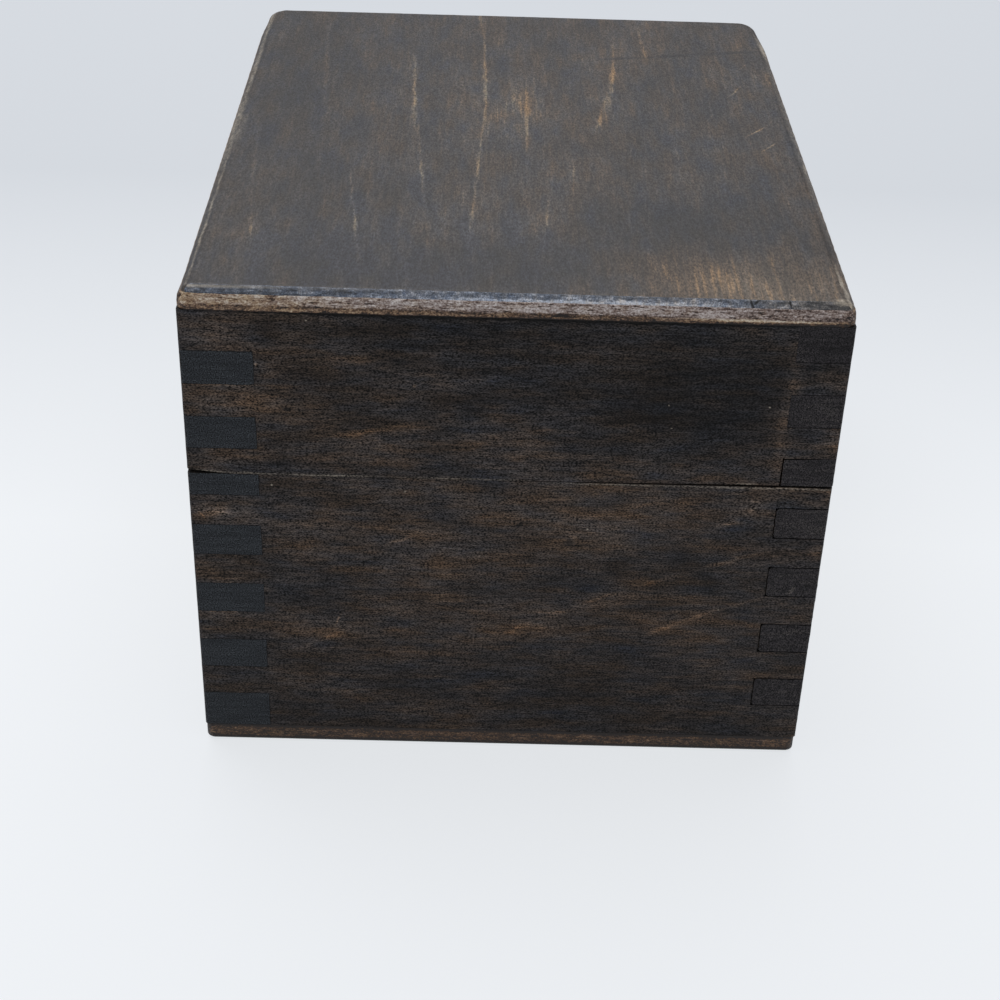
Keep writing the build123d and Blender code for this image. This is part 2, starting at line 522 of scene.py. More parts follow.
# %% [markdown]
# The walls are a close-grained wood such as birch. Their long grain takes the stain unevenly,
# so brown streaks and darker patches show through the black. A picture of a board could be
# laid on, but this noise depends on the place only, so the growth lines of one board run on
# across the saw cut. Birch pores are too fine to show in a view of the whole box, so they are
# drawn as coarse as they need to be.

# %% Long grain
wall_fibres, wall_pores = (0.17, 1.7), (0.13, 0.24)
wall_streaks, wall_patches, wall_cast = (0.9, 9.0), (4.0, 10.0), (1.5, 6.0)
wall_tone = 0.505


def long_grain_stain(name, along, seed, broad=(), fine=(), rubbed=(), warm=()):
    """Marks are broad or fine changes of tone, wear down to bare wood, or a warmer cast."""
    material, tree, shader = new_material(name, Roughness=0.52, Specular_IOR_Level=0.12)
    place = in_millimetres(tree)
    axes = (along, z_axis)
    fibres = grain_lines(tree, place, along, wall_fibres, seed)
    pores = grain_lines(tree, place, along, wall_pores, seed + 4, detail=1.0, roughness=0.5)
    streaks = grain_lines(tree, place, along, wall_streaks, seed, detail=3.0)
    patches = grain_lines(tree, place, along, wall_patches, seed + 7, roughness=0.5)
    blue_or_amber = grain_lines(tree, place, along, wall_cast, seed + 6, roughness=0.55)
    loose = stray(tree, place, seed, reach=0.9, spacing=3.0)
    wavy = stray(tree, place, seed + 2, reach=0.3, spacing=1.2)
    crisp = stray(tree, place, seed + 2, reach=0.12, spacing=0.8)
    tone = weigh_up(tree, wall_tone, (fibres, 0.15), (streaks, 0.5), (patches, 0.46))
    tone = marks(tree, loose, axes, broad, tone)
    tone = marks(tree, wavy, axes, fine, tone)
    lightness = weigh_up(tree, 0.5, (pores, 1.0), (fibres, 0.45))
    bare = marks(tree, crisp, axes, rubbed) if rubbed else None
    cast = marks(tree, loose, axes, warm, weigh_up(tree, 0.5, (blue_or_amber, 1.25)))
    stained_surface(tree, shader, tone, stain_tones, lightness, 5.8, -0.3, bare, cast)
    return material


print("pores lie", wall_pores[0], "mm apart")

# %% [markdown]
# These are the marks on the front, in millimetres to the right of the middle and up from the
# saw cut. Broad marks are patches of lighter or darker stain, and they make the front darker
# along the top and lighter lower down. Fine marks are growth lines, knots and scratches. One
# thin dark line along the top, just under the lid panel's edge, is a painted shadow of that
# edge. Rubbed marks are pale arrises along the cut and chips at the joints.

# %% Marks on the front
base_low, base_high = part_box("base_front_wall")
lid_low, lid_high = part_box("lid_front_wall")
seam_level = (base_high.z + lid_low.z) / 2 / mm
front_broad_marks = [
    (-40, 20.5, 44, 20.5, 0.6, -0.2), (-12, 14, 44, 14, 10, -0.2),
    (6, 9, 36, 9, 8, -0.12), (-26, 18.6, 14, 18.6, 3, -0.22),
    (-38, 18, -27, 18, 2.8, 0.16), (-39, 9.8, -20, 9.8, 2.8, 0.24),
    (-38, 1.8, -24, 1.8, 2.2, 0.18), (-38, -5, -27, -4.8, 2.6, 0.18),
    (-38, -13, -27, -13, 2.4, 0.1), (-38, -20.3, -29, -20.2, 1.8, 0.14),
    (-28.6, 13.3, -25.4, 13.3, 1.8, 0.16), (-28, 3.5, 12, 3, 4, 0.1),
    (-24, 5.6, -8, 6.6, 1.4, 0.12), (-34, -5, 38, -4, 7, 0.16),
    (-34, -14, 0, -12, 8, 0.1), (-10, -20, 38, -19, 5, 0.18),
    (-30, -22, 0, -21, 3, 0.12), (29.8, -1, 31.2, 24, 1.4, 0.26),
    (29, 5, 29.4, 12, 1.6, 0.14), (30, 14, 38, 14, 2.2, 0.18),
    (33.5, 5.5, 38, 6.5, 1.8, 0.22), (35, -1, 38, -1, 1.4, 0.3),
    (34.5, -9, 38, -9, 2, 0.18), (24, -3, 31, -3.2, 1.4, 0.24),
    (-36.4, -5.6, -31, -5.5, 0.8, 0.3), (8, 12.7, 17, 12.7, 1, 0.16),
    (-10.5, 10.4, -5.5, 10.2, 0.8, -0.18), (-7, 9, -2, 9, 2, -0.14),
    (-13, 1.1, -3, 1, 0.8, -0.18), (-28.4, 1.6, -23.5, 1.6, 1.2, -0.2),
    (-29, 18.3, -25, 18.3, 1.6, -0.2), (13.5, 9, 19, 9, 1.6, -0.1),
    (10, -11.5, 16, -11.5, 1.6, -0.2), (13, -17, 21, -17, 1.3, -0.2),
    (18, -10, 22.5, -10, 2, -0.14), (22, -13.5, 25, -13.5, 2, -0.16),
    (0, -14.5, 16, -14.5, 2.6, -0.14), (-31, -16, -13, -16, 3.6, -0.12),
    (2, -21, 8, -19.5, 1.6, 0.14),
]
front_fine_marks = [
    # The first mark here is a painted shadow: a thin dark line under the lid panel's edge.
    (-40, 20.4, 40, 20.4, 0.26, -1.2), (-29.8, 15.5, -28.6, 15.3, 0.3, -0.8),
    (-31, 3.3, -28.8, 3.3, 0.22, -0.6), (-0.5, -21.8, 3.8, -19.5, 0.5, 0.26),
    (3.2, -19.6, 7.5, -18.1, 0.44, 0.2), (7.2, -17.7, 14.6, -14.6, 0.36, 0.24),
    (15.4, -14.3, 21.6, -11.9, 0.42, 0.18), (21, -12, 30, -8.9, 0.4, 0.28),
    (15.6, -22, 21.8, -18.8, 0.46, 0.24), (20.4, -19.3, 26.3, -16.9, 0.42, 0.28),
    (24.8, -17.4, 31.6, -15, 0.4, 0.18), (13, -3.7, 18.2, -1.9, 0.34, 0.18),
    (17, -2, 22, -2.8, 0.34, 0.2), (23.2, -5.6, 27.6, -4.7, 0.34, 0.28),
    (-14.8, -9.4, -10.6, -7.8, 0.28, 0.32), (1, -18.5, 10, -18.2, 0.22, 0.24),
    (-11, -17.1, 0, -17, 0.24, 0.2), (-12, -16.2, -2, -16.1, 0.22, 0.18),
    (-21.8, 4.8, -11.6, 6.8, 0.44, 0.22), (-26.4, 3.1, -20.1, 4.2, 0.4, 0.22),
    (-7.8, 11.7, -1.2, 13.6, 0.44, 0.2), (-19.4, -19, -20.4, -21.2, 0.18, 0.45),
    (-25, -24.4, -17.6, -21.4, 0.5, 0.2), (-37.5, -19.3, -30.5, -19.3, 0.18, 0.45),
    (-38, 11.4, -25, 11.4, 0.24, 0.24), (-30, -14.6, -36, -14.6, 0.25, 0.2),
    (-25.6, 8.6, -24.6, 8.5, 0.32, -0.7), (0.6, -6.3, 1.6, -5.8, 0.34, -0.5),
    (6.2, -8.5, 7.8, -8, 0.6, -0.34), (6, -7.5, 8.8, -7.6, 0.3, 0.24),
    (-11.2, 11.6, -10.6, 12.2, 0.36, 0.5), (-11.4, 5.4, -10.2, 5.6, 0.3, -0.45),
    (16, -14, 17.6, -13.5, 0.5, 0.24), (25, -4.7, 26.5, -4.6, 0.4, 0.24),
    (-27.6, 16.4, -26.6, 17.4, 0.6, -0.2), (-28.2, 13.6, -28.1, 14.4, 0.3, 0.5),
    (-35.6, -5, -34.8, -6.4, 0.2, 0.5),
]
front_rubbed_marks = [
    (-38, 0.26, -32, 0.2, 0.18, 0.55), (-34, 0.16, -25, 0.08, 0.16, 0.35),
    (-27, 0.04, -14, 0.04, 0.18, 0.5), (-16, 0.04, 4, 0.04, 0.14, 0.3),
    (2, -0.22, 22, -0.24, 0.16, 0.35), (14, -0.24, 44, -0.24, 0.18, 0.5),
    (25, 0.34, 28, 0.34, 0.14, 0.5), (-22.6, 19.5, -22.6, 19.8, 0.2, 0.6),
    (17, 10.2, 17.1, 10.4, 0.16, 1), (17.6, 7.3, 17.6, 7.5, 0.16, 1),
    (-27.2, -1.4, -26.9, -1.3, 0.2, 0.9), (-12.2, -2, -11.8, -1.8, 0.2, 0.6),
    (9, -6.5, 9.2, -6.3, 0.16, 0.9), (25, -17.4, 25.2, -17.3, 0.18, 0.9),
    (28.2, 10.3, 28.3, 10.5, 0.16, 0.7),
]
front_warm_marks = [
    (-44, 11, -6, 10, 14, 0.2), (-44, -14, 40, -13, 14, 0.04),
    (28.6, 2, 31, 22, 2.5, 0.2), (33, 6, 40, 6, 4, 0.12),
]
front_marks = [
    counted_from(seam_level, strokes)
    for strokes in (front_broad_marks, front_fine_marks, front_rubbed_marks, front_warm_marks)
]
print("marks on the front:", sum(len(strokes) for strokes in front_marks))

# %% [markdown]
# One material for each of the four boards. The front and back boards run from side to side,
# the other two from front to back. A shared material would save three, but each board has its
# own direction and its own seed, so that no two show the same grain.

# %% Boards
wall_grain = {"front": x_axis, "right": y_axis, "back": x_axis, "left": y_axis}
wall_seed = {"front": 3.1, "right": 9.2, "back": 6.6, "left": 1.7}
long_grain = {
    side: long_grain_stain(
        f"walnut-stained birch, {side} board",
        along,
        wall_seed[side],
        *(front_marks if side == "front" else ()),
    )
    for side, along in wall_grain.items()
}
print("boards:", sorted(long_grain))

# %% [markdown]
# End grain drinks the stain and turns a dull blue-grey black, with open pores as fine specks
# and growth rings as slow bands. It could share the finish of the long grain, but the fingers
# would then be lost in the boards. The right-hand board is browner and shows more rings.

# %% End grain
cool_end_tones = ((0.0, "#15171a"), (0.5, "#2f3235"), (1.0, "#4d5154"))
warm_end_tones = ((0.0, "#171516"), (0.5, "#2f2c2d"), (1.0, "#524d49"))
end_pores, end_rings = (0.13, 0.15), (4.0, 0.45)
clear_rings, faint_rings = 1.0, 0.55
end_seed = {"front": 3.5, "right": 9.9, "back": 6.5, "left": 2.4}
right_end_nicks = [
    (30, 18.5, 40, 18.5, 3.4, -0.3), (30, -5, 40, -5, 2.4, 0.1),
    (33, -15, 33.9, -13.7, 0.3, 1.3), (31.2, -13, 32.4, -12, 0.22, 0.25),
    (32.4, 10.5, 32.5, 10.6, 0.16, 1.6), (31, 12.1, 31.1, 12.2, 0.16, 1.6),
]


def end_grain_stain(side):
    material, tree, shader = new_material(
        f"walnut-stained birch, end grain of {side} board", Roughness=0.55, Specular_IOR_Level=0.14
    )
    place = in_millimetres(tree)
    seed = end_seed[side]
    tones = cool_end_tones if side == "left" else warm_end_tones
    ring_weight = clear_rings if side == "right" else faint_rings
    nicks = counted_from(seam_level, right_end_nicks) if side == "right" else ()
    pores = grain_lines(tree, place, z_axis, end_pores, seed, detail=1.0, roughness=0.5)
    rings = grain_lines(tree, place, z_axis, end_rings, seed + 3)
    tone = weigh_up(tree, 0.5, (pores, 0.4), (rings, ring_weight))
    tone = marks(tree, place, (x_axis, z_axis), nicks, tone)
    stained_surface(tree, shader, tone, tones, pores, 5.2, -0.2)
    return material


end_grain = {side: end_grain_stain(side) for side in wall_grain}
print("end grain of", len(end_grain), "boards")

# %% [markdown]
# Inside, the stain was wiped on once and never rubbed down, so it looks thin, matt and brown.
# The rims of the saw cut soaked up more stain, and are darker still as painted shade of the
# narrow cut between lid and base. The hidden faces of the fingers took up the most, so a joint
# shows as a black line wherever it is open. Plain black would do for that line, but where the
# joint gapes the face itself can be seen.

# %% Thin stain inside, rims and sawn faces
inside_tones = ((0.0, "#2b221c"), (0.5, "#46382d"), (1.0, "#7a6149"))
# The rims' darkness is partly stain and partly painted shade of the saw cut.
rim_stain_and_shade_tones = ((0.0, "#131110"), (0.5, "#28231f"), (1.0, "#4e443a"))
sawn_tones = ((0.2, "#0b0a0a"), (0.5, "#171413"), (0.8, "#2b2521"))
saw_crumbs = (0.2, 0.2)
rim_seed_step = 0.4


def thin_stain(name, along, seed, tones):
    material, tree, shader = new_material(name, Roughness=0.7, Specular_IOR_Level=0.3)
    place = in_millimetres(tree)
    fibres = grain_lines(tree, place, along, wall_fibres, seed)
    streaks = grain_lines(tree, place, along, wall_streaks, seed, detail=3.0)
    tone = weigh_up(tree, 0.5, (fibres, 0.8), (streaks, 0.9))
    stained_surface(tree, shader, tone, tones, fibres, 0.5, -0.2)
    return material


inside_grain, rim_grain = {}, {}
for side, along in wall_grain.items():
    seed = wall_seed[side]
    inside_name = f"thinly stained birch, {side} board"
    inside_grain[side] = thin_stain(inside_name, along, seed, inside_tones)
    rim_name = f"sawn and stained birch rim, {side} board"
    rim_grain[side] = thin_stain(rim_name, along, seed + rim_seed_step, rim_stain_and_shade_tones)
sawn_stain, tree, shader = new_material("walnut stain soaked into sawn faces", Roughness=0.8)
crumbs = grain_lines(tree, in_millimetres(tree), z_axis, saw_crumbs, 8.8, roughness=0.55)
stained_surface(tree, shader, crumbs, sawn_tones, crumbs, 0.5, 0.1)
print("inside boards:", sorted(inside_grain))

# %% [markdown]
# The walls need a few planes and levels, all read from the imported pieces, and a test for
# places near the outside or near the front right corner, where the joint fits badly.

# %% Planes and levels of the walls
skin = 0.7 * mm
right_finger_length = 6.0 * mm
rough_joint_height = 6 * mm
rough_joint_reach = 0.5 * mm
half_low = {"base": base_low.z, "lid": lid_low.z}
half_high = {"base": base_high.z, "lid": lid_high.z}
side_plane = cad_box[1][0]
front_plane = cad_box[0][1]
back_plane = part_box("base_back_wall")[1].y
right_joint = base_high.x - right_finger_length
cut_gap = lid_low.z - base_high.z


def near_outside(place):
    return (
        abs(place.x) > side_plane - skin
        or place.y < front_plane + skin
        or place.y > back_plane - skin
    )


def near_rough_joint(place):
    low_enough = place.z < lid_low.z + rough_joint_height
    at_front = place.y < front_plane + skin
    return low_enough and at_front and place.x > right_joint - rough_joint_reach


def share_between(value, start, end):
    """How far a value has come from a start to an end, from 0 to 1."""
    return min(1.0, max(0.0, (value - start) / (end - start)))


def keep_flush(vert):
    """Keeps a point that was moved within the planes of the four sides."""
    vert.co.x = min(side_plane, max(-side_plane, vert.co.x))
    vert.co.y = min(back_plane, max(front_plane, vert.co.y))


print("saw cut", round(cut_gap / mm, 3), "mm wide at", round(seam_level, 2), "mm")

# %% [markdown]
# On the outside the joint lines wander by a few hundredths of a millimetre, while the flat
# faces stay flat. A displacement modifier could move them, but it would move the flat faces
# too. The wander depends on the place only, so two pieces that meet stay together. Vector
# noise is drawn anew each time Blender starts, so it is given a seed, and every run makes the
# same lines. The saw cut wasn't quite level with the fingers, so the lid's joint lines rise to
# the right. The cut is closed over the left half of the front and opens towards both corners,
# and the base stands back a tenth of a millimetre at the right, where its rubbed edge shows.

# %% Joint lines and saw cut
wander_seed = 7
joint_wander, wander_spacing = 0.05 * mm, 1.4 * mm
rough_joint_wander, rough_wander_spacing = 0.07 * mm, 0.5 * mm
on_plane = 0.01 * mm
joint_margin = 0.3 * mm
lid_joint_fall, lid_joint_rise = -0.2 * mm, 0.38 * mm
closed_opening, left_opening, right_opening = 0.015 * mm, 0.50 * mm, 0.28 * mm
left_opens_from, left_opens_to = -31.5 * mm, -36.5 * mm
right_opens_from, right_opens_to = -2 * mm, 26 * mm
cut_depth, cut_reach = 1 * mm, 0.2 * mm
base_stands_back = 0.1 * mm
noise.seed_set(wander_seed)


def seam_opening(x):
    """The width of the saw cut at the front, closed on the left and open at the corners."""
    left_end = left_opening * share_between(x, left_opens_from, left_opens_to)
    right_end = right_opening * share_between(x, right_opens_from, right_opens_to)
    return closed_opening + left_end + right_end


def settle(shape, half):
    """Moves the joint lines and the front of the saw cut a little from their true places."""
    low, high = half_low[half], half_high[half]
    for vert in shape.verts:
        place = vert.co.copy()
        in_joint = low + joint_margin < place.z < high - joint_margin
        if half == "lid" and in_joint:
            share = share_between(place.x, -side_plane, side_plane)
            vert.co.z += lid_joint_fall + share * (lid_joint_rise - lid_joint_fall)
        if near_outside(place):
            reach, spacing = joint_wander, wander_spacing
            if near_rough_joint(place):
                reach, spacing = rough_joint_wander, rough_wander_spacing
            shift = noise.noise_vector(place / spacing) * reach
            if abs(place.x) > side_plane - on_plane:
                shift.x = 0
            if place.y < front_plane + on_plane or place.y > back_plane - on_plane:
                shift.y = 0
            if not in_joint:
                shift.z = 0
            vert.co += shift
        if half == "lid" and place.y < front_plane + cut_depth and place.z < low + cut_reach:
            vert.co.z += seam_opening(place.x) - cut_gap
        if half == "base" and place.y < front_plane + skin:
            height = share_between(place.z, low, high)
            vert.co.y += base_stands_back * height * share_between(place.x, 0, side_plane)
        keep_flush(vert)


print("cut at the right corner", round(seam_opening(side_plane) / mm, 3), "mm wide")

# %% [markdown]
# Each face of a wall gets one of five finishes, chosen by where it points. Faces could be
# picked by hand in the editor, but a rule also holds for the small faces that the eased edges
# bring. Level faces are rims near the saw cut and hidden sides of fingers elsewhere.

# %% Faces of a wall
long_face, end_face, inner_face, sawn_face, rim_face = range(5)
outward = {
    "front": Vector((0, -1, 0)),
    "right": Vector((1, 0, 0)),
    "back": Vector((0, 1, 0)),
    "left": Vector((-1, 0, 0)),
}
mostly_level, mostly_along, partly = 0.6, 0.7, 0.3
rim_reach, rim_edge_reach = 0.6 * mm, 0.15 * mm


def on_rim(half):
    level = half_high[half] if half == "base" else half_low[half]
    return lambda place: abs(place.z - level) < rim_edge_reach


def wall_finish(side):
    def choose(face):
        normal = face.normal
        end_share = abs(normal[wall_grain[side]])
        if abs(normal.z) > mostly_level:
            near_cut = abs(face.calc_center_median().z - seam_level * mm) < rim_reach
            return rim_face if near_cut else sawn_face
        if end_share > mostly_along:
            return end_face
        if normal.dot(outward[side]) > partly:
            return long_face
        return end_face if end_share > partly else inner_face

    return choose


print("finishes of a wall:", rim_face + 1)

# %% [markdown]
# The front right corner is the badly fitting one. In the base, its fingers have rounded
# ends. In the lid, the lowest finger has come away from its notch, and the two above it fill
# theirs tightly. Moving the points of one wall is enough for that, since the wall it meets
# stays as it is.

# %% Front right corner
finger_end_radius, finger_end_segments = 0.4 * mm, 3
finger_end_reach, longest_finger, shortest_end = 0.25 * mm, 9 * mm, 1 * mm
loose_depth, loose_reach = 7.5 * mm, 0.3 * mm
lowest_finger_from, lowest_finger_to = 3 * mm, 4 * mm
lowest_finger_shrinks, lowest_finger_sinks = 0.06 * mm, 0.10 * mm
upper_fingers_grow, line_reach, line_closing = 0.10 * mm, 0.2 * mm, 0.93
upper_finger_lines = (7.5 * mm, 11.6 * mm, 15.7 * mm)


def round_finger_ends(shape):
    ends = [
        edge
        for edge in shape.edges
        if all(abs(vert.co.x - right_joint) < finger_end_reach for vert in edge.verts)
        and all(vert.co.y < front_plane + longest_finger for vert in edge.verts)
        and abs(edge.verts[0].co.y - edge.verts[1].co.y) > shortest_end
    ]
    bevel(shape, ends, finger_end_radius, finger_end_segments)


def loosen_fingers(shape):
    for vert in shape.verts:
        if vert.co.y > front_plane + loose_depth:
            continue
        height = vert.co.z - lid_low.z
        at_end = vert.co.x < right_joint + loose_reach
        if height < lowest_finger_to and at_end:
            vert.co.x += lowest_finger_shrinks
            if height > lowest_finger_from:
                vert.co.z -= lowest_finger_sinks
        elif lowest_finger_from < height < lowest_finger_to:
            vert.co.z += lowest_finger_sinks
        elif height > lowest_finger_to:
            vert.co.x -= upper_fingers_grow * at_end
            for line in upper_finger_lines:
                past_line = height - line
                if abs(past_line) < line_reach:
                    vert.co.z -= line_closing * past_line


print("right joint at x", round(right_joint / mm, 2), "mm")

# %% [markdown]
# Now the eight walls are made. The outside is cut into steps first, and into finer ones at
# the rough joint, then settled, and the edges are eased last, so that they follow the lines.

# %% Walls
joint_step, rough_joint_step = 1.0 * mm, 0.35 * mm
rim_ease, tight_ease = 0.05 * mm, 0.01 * mm
for half in half_low:
    for side in wall_grain:
        node = f"{half}_{side}_wall"
        shape = welded_copy(node)
        if node == "base_right_wall":
            round_finger_ends(shape)
        if node == "lid_right_wall":
            loosen_fingers(shape)
        cut_edges(shape, joint_step, near_outside)
        cut_edges(shape, rough_joint_step, near_rough_joint)
        settle(shape, half)
        ease_edges(shape, rim_ease, on_rim(half))
        ease_edges(shape, tight_ease)
        finishes = [
            long_grain[side],
            end_grain[side],
            inside_grain[side],
            sawn_stain,
            rim_grain[side],
        ]
        finish_piece(shape, f"{node}_worn", node, finishes, wall_finish(side))

# %% [markdown]
# These are the marks on the lid, in millimetres to the right of the middle and back from the
# front edge. Its stain missed the grain in a few long tan streaks. It has short scratches at
# the right, a soft dark line across the back, and fine lines at the front right, where a
# thumb lifts the lid and has rubbed it paler. Chips are arrises worn to bare wood. Cast marks
# lean the colour warmer or cooler. The cool one across the front left is a painted reflection
# of the sky in the satin sheen.

# %% Marks on the lid
lid_broad_marks = [
    (6, 4, 46, 5, 12, 0.18), (17, 5, 28, 6, 8, 0.06),
    (-24, 8, -20, 40, 6, -0.12), (-40, 4, 0, 6, 12, -0.24),
    (-12, 6, 12, 9, 10, -0.24), (6, 16, 34, 24, 11, -0.24),
    (-31, 15, -27, 105, 13, -0.16), (-16, 40, -12, 20, 3, -0.1),
    (22, 50, 26, 70, 5, -0.12), (-4, 20, 4, 75, 6, 0.1),
    (10, 60, 24, 100, 9, 0.08), (-30, 95, 36, 95, 6, 0.08),
    (-11, 50, 14, 62, 14, 0.17), (30, 4, 30.5, 20, 3, 0.08),
    (33, 15, 35, 95, 5, 0.08),
]
lid_fine_marks = [
    (-5.6, 104, -4, 74, 0.5, 0.22), (-4.4, 98, -3.6, 35, 0.42, 0.36),
    (-3.4, 68, -5.8, 4, 0.36, 0.36), (-14.1, 82, -12.6, 34, 0.44, 0.38),
    (-13.2, 60, -10.2, 14, 0.38, 0.42), (14.6, 88, 12.8, 56, 0.36, 0.26),
    (13.8, 74, 11.7, 50, 0.66, 0.48), (12.5, 63, 9.3, 40, 0.46, 0.32),
    (1.7, 70, 1.3, 26, 0.34, 0.26), (-20.9, 40, -16.6, 0, 0.36, 0.38),
    (-33.4, 54, -29.8, 8, 0.36, 0.22), (-27.4, 96, -24.8, 50, 0.4, 0.32),
    (4.9, 42, 2.4, 4, 0.34, 0.22), (18.2, 99, 18.8, 64, 0.5, 0.22),
    (-30.8, 24, -29.2, 4, 0.26, 0.28), (-24, 80, -24.6, 55, 0.26, 0.22),
    (-9, 60, -8.4, 30, 0.26, 0.2), (7.6, 45, 6.4, 20, 0.26, 0.14),
    (16, 50, 13.6, 36, 0.26, 0.26), (22.6, 66, 21.6, 46, 0.26, 0.2),
    (17.3, -2, 17.5, 12, 0.28, 0.14), (19.4, -3, 19.5, 11, 0.28, 0.17),
    (20.4, -1, 20.3, 12, 0.28, 0.22), (21.2, -3, 21.5, 13, 0.32, 0.24),
    (22, -2, 22.3, 15, 0.3, 0.24), (22.8, -2, 23, 10, 0.24, 0.18),
    (23.4, -2, 23.4, 11, 0.3, 0.22), (24.1, -3, 23.9, 14, 0.28, 0.18),
    (25.5, -1, 25.5, 13, 0.28, 0.2), (27.1, -2, 27, 8, 0.3, 0.2),
    (28.4, -1, 28.5, 14, 0.3, 0.22), (29.6, -3, 29.7, 6, 0.32, 0.23),
    (32.3, -3, 32, 6, 0.28, 0.23), (34.6, -2, 34.3, 5, 0.26, 0.22),
    (11, 75, 19, 76.4, 0.7, -0.45), (18, 76.1, 27, 78.6, 0.7, -0.6),
    (25, 78, 36.5, 80.6, 0.7, -0.5), (29, 46.8, 33.4, 52.4, 0.22, 0.55),
    (30.6, 42.2, 34.2, 46.8, 0.2, 0.45), (28.2, 60.4, 31.2, 66.8, 0.2, 0.42),
    (30.4, 71, 33.2, 75.6, 0.2, 0.36), (24.6, 52, 26.8, 56.6, 0.18, 0.34),
]
lid_thumb_marks = [
    (8, 1.5, 50, 2, 5, 0.06), (15, 3, 42, 4.5, 10, 0.08),
    (18, 4, 30, 5, 7, 0.06),
]
lid_chips = [
    (36.2, 76, 35.4, 89, 0.7, 0.85), (35.9, 35, 36, 41, 0.4, 0.45),
    (35.95, -2, 35.2, 12, 0.34, 1.1), (33.6, 1.3, 36.8, 1.1, 0.8, 1),
    (36.2, -4, 36.2, 98, 1, 0.3), (-36, -20, -36, 120, 0.9, 0.14),
    (-35.7, 30, -35.6, 66, 0.75, 0.36), (-34.9, 38, -34.7, 52, 0.8, 0.18),
    (-35.6, 56, -35.5, 84, 0.45, 0.46), (-35.6, 74, -35.3, 106, 0.5, 0.42),
    (-35.5, -10, -35.3, 46, 0.26, 0.5),
]
lid_cast_and_sheen_marks = [
    (-12, 80, 44, 84, 16, 0.12), (-4, 52, 9, 62, 12, 0.05),
    # Painted reflection: this cool cast across the front left stands for a bluer sheen there.
    (-46, 8, 18, 9, 18, -0.34), (-34, 30, -22, 60, 10, -0.08),
    (8, 18, 34, 28, 12, -0.12), (2, 3, 50, 6, 12, 0.52),
    (14, 5, 30, 6, 8, 0.3),
]
front_edge_level = front_plane / mm
lid_marks = [
    counted_from(front_edge_level, strokes)
    for strokes in (lid_broad_marks, lid_fine_marks, lid_thumb_marks, lid_chips, lid_cast_and_sheen_marks)
]
print("marks on the lid:", sum(len(strokes) for strokes in lid_marks))

# %% [markdown]
# The lid's top is thin plywood. Its face veneer has the same stain and a little wax, which
# gives the eye a darker, smoother and glossier surface than the walls, with its grain from
# front to back. Where the thumb rubs, a mix towards bare wood follows the grain, because the
# raised lines wear first. The underside of the box has the same veneer without the marks.

# %% Face veneer
veneer_tones = (
    (0.0, "#16181b"), (0.3, "#252629"), (0.5, "#373433"), (0.7, "#4d4640"),
    (1.0, "#8f7c61"),
)
veneer_fibres, veneer_pores = (0.26, 5.0), (0.18, 0.5)
veneer_streaks, veneer_patches, veneer_cast = (0.7, 9.0), (4.0, 12.0), (2.0, 7.0)
veneer_chipping, veneer_wear_lines = (0.5, 1.5), (0.4, 6.0)
veneer_tone = 0.49
from_above = (x_axis, y_axis)


def satin_veneer(name, seed, broad=(), fine=(), thumb=(), chips=(), warm=()):
    material, tree, shader = new_material(
        name, Roughness=0.44, Specular_IOR_Level=0.38, Specular_Tint=colour("#fff2e8")
    )
    place = in_millimetres(tree)
    fibres = grain_lines(tree, place, y_axis, veneer_fibres, seed, detail=3.0)
    pores = grain_lines(tree, place, y_axis, veneer_pores, seed + 4)
    streaks = grain_lines(tree, place, y_axis, veneer_streaks, seed, detail=3.0)
    patches = grain_lines(tree, place, y_axis, veneer_patches, seed + 7, roughness=0.5)
    blue_or_amber = grain_lines(tree, place, y_axis, veneer_cast, seed + 6, roughness=0.55)
    loose = stray(tree, place, seed, reach=0.9, spacing=4.0)
    crisp = stray(tree, place, seed + 2, reach=0.3, spacing=2.5)
    tone = weigh_up(
        tree, veneer_tone, (fibres, 0.55), (pores, 0.25), (streaks, 0.6), (patches, 0.5)
    )
    tone = marks(tree, loose, from_above, broad, tone)
    tone = marks(tree, crisp, from_above, fine, tone)
    rubbed = None
    if chips:
        chipping = grain_lines(tree, place, y_axis, veneer_chipping, seed + 11)
        lines = grain_lines(
            tree, place, y_axis, veneer_wear_lines, seed + 9, detail=3.0, roughness=0.7
        )
        worn = (
            (marks(tree, crisp, from_above, chips), weigh_up(tree, 1.0, (chipping, 3.5))),
            (marks(tree, loose, from_above, thumb), weigh_up(tree, 0.9, (lines, 3.0))),
        )
        rubbed = 0.0
        for spots, broken_by in worn:
            rubbed = add_node(
                tree,
                "ShaderNodeMath",
                {"Value": spots, "Value_001": broken_by, "Value_002": rubbed},
                operation="MULTIPLY_ADD",
            )
    cast = marks(tree, loose, from_above, warm, weigh_up(tree, 0.5, (blue_or_amber, 2.0)))
    stained_surface(tree, shader, tone, veneer_tones, pores, 2.9, -0.4, rubbed, cast)
    return material


lid_veneer = satin_veneer("stained birch veneer, lid", 2.5, *lid_marks)
plain_veneer = satin_veneer("stained birch veneer, base", 5.2)
inside_veneer = thin_stain("thinly stained birch veneer, inside", y_axis, 4.6, inside_tones)
print("veneer fibres run", veneer_fibres[1], "mm")
